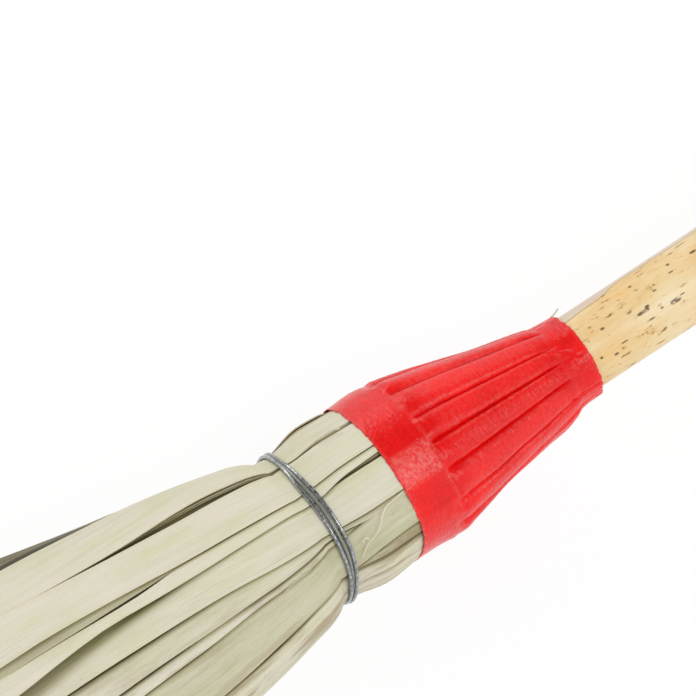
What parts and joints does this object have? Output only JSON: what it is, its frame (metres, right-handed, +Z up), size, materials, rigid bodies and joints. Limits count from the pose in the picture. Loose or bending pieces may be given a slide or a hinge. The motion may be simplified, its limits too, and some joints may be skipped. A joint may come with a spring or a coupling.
{
  "type": "straw broom",
  "caption": "Palm-leaf broom with a straight cane handle: folded leaf fronds bound round the neck with wire under a ribbed shrunk film sleeve, lying on the floor.",
  "frame": {"origin": "on the floor under the middle of the part's bounding box", "axes": "+X along the broom towards the handle's far end, +Y across the head, +Z up; the head's tips and the handle's far end lie on the floor"},
  "size_m": [1.2396, 0.2054, 0.0975],
  "materials": {
    "cane": "smooth dry cane skin",
    "palm_leaf": "dry ribbed leaf, matte",
    "red_film": "glossy heat-shrunk film",
    "galvanised_wire": "dull zinc coat",
    "nail_steel": "plain steel"
  },
  "bodies": {
    "root": {"cane_handle": "cane", "shrink_sleeve": "red_film", "outer_binding_wire": "galvanised_wire", "inner_binding_wire": "galvanised_wire", "neck_nail_1": "nail_steel", "neck_nail_2": "nail_steel", "outer_frond_01": "palm_leaf", "outer_frond_02": "palm_leaf", "outer_frond_03": "palm_leaf", "outer_frond_04": "palm_leaf", "outer_frond_05": "palm_leaf", "outer_frond_06": "palm_leaf", "outer_frond_07": "palm_leaf", "outer_frond_08": "palm_leaf", "outer_frond_09": "palm_leaf", "outer_frond_10": "palm_leaf", "outer_frond_11": "palm_leaf", "outer_frond_12": "palm_leaf", "outer_frond_13": "palm_leaf", "outer_frond_14": "palm_leaf", "outer_frond_15": "palm_leaf", "outer_frond_16": "palm_leaf", "inner_frond_01": "palm_leaf", "inner_frond_02": "palm_leaf", "inner_frond_03": "palm_leaf", "inner_frond_04": "palm_leaf", "inner_frond_05": "palm_leaf", "inner_frond_06": "palm_leaf", "inner_frond_07": "palm_leaf", "inner_frond_08": "palm_leaf"}
  },
  "joints": []
}
